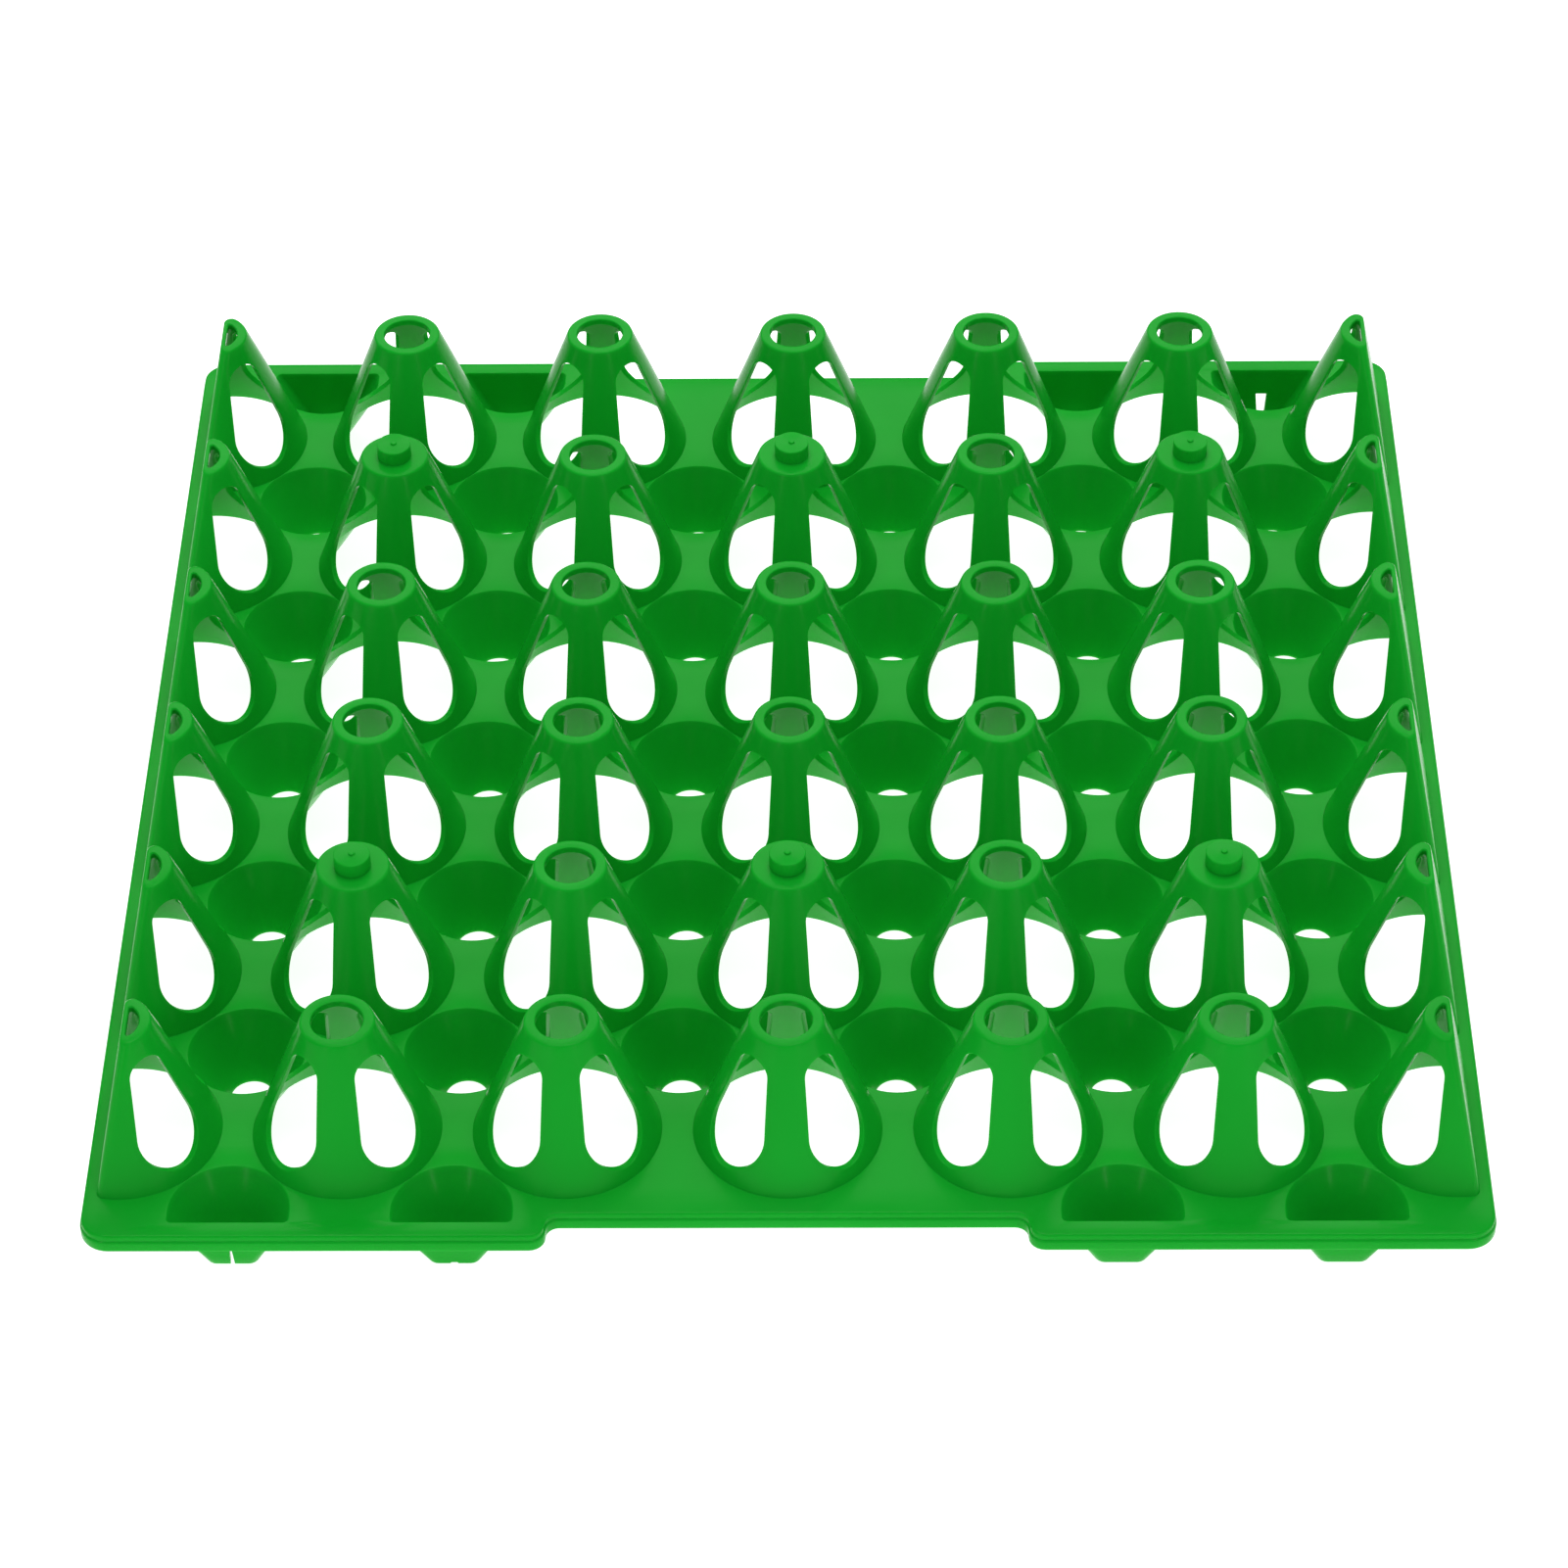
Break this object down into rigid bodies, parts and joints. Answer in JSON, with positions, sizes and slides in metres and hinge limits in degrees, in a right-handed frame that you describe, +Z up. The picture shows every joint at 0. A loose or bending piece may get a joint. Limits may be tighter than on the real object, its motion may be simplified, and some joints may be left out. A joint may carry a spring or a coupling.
{
  "type": "egg tray",
  "caption": "Square stackable egg tray of one-piece moulded plastic: round cups with drain holes set between hollow windowed cone posts.",
  "frame": {"origin": "middle of the square footprint, on the plane of the cup bottoms that the tray stands on", "axes": "+Z up, +X across the longer row of cells, +Y along the shorter one, front edge at -Y"},
  "size_m": [0.2976, 0.2976, 0.0513],
  "materials": {
    "tray": "satin moulded polypropylene, faint machining lines, slightly translucent"
  },
  "bodies": {
    "root": {"deck": "tray", "front_skirt": "tray", "back_skirt": "tray", "left_skirt": "tray", "right_skirt": "tray", "post_row1_1": "tray", "post_row1_2": "tray", "post_row1_3": "tray", "post_row1_4": "tray", "post_row1_5": "tray", "post_row2_1": "tray", "post_row2_2": "tray", "post_row2_3": "tray", "post_row2_4": "tray", "post_row2_5": "tray", "post_row3_1": "tray", "post_row3_2": "tray", "post_row3_3": "tray", "post_row3_4": "tray", "post_row3_5": "tray", "post_row4_1": "tray", "post_row4_2": "tray", "post_row4_3": "tray", "post_row4_4": "tray", "post_row4_5": "tray", "post_row5_1": "tray", "post_row5_2": "tray", "post_row5_3": "tray", "post_row5_4": "tray", "post_row5_5": "tray", "post_row6_1": "tray", "post_row6_2": "tray", "post_row6_3": "tray", "post_row6_4": "tray", "post_row6_5": "tray", "half_post_left_1": "tray", "half_post_left_2": "tray", "half_post_left_3": "tray", "half_post_left_4": "tray", "half_post_left_5": "tray", "half_post_left_6": "tray", "half_post_right_1": "tray", "half_post_right_2": "tray", "half_post_right_3": "tray", "half_post_right_4": "tray", "half_post_right_5": "tray", "half_post_right_6": "tray", "cups_row1": "tray", "cups_row2": "tray", "cups_row3": "tray", "cups_row4": "tray", "cups_row5": "tray", "half_cups_front": "tray", "half_cups_back": "tray", "stacking_pegs": "tray"}
  },
  "joints": []
}
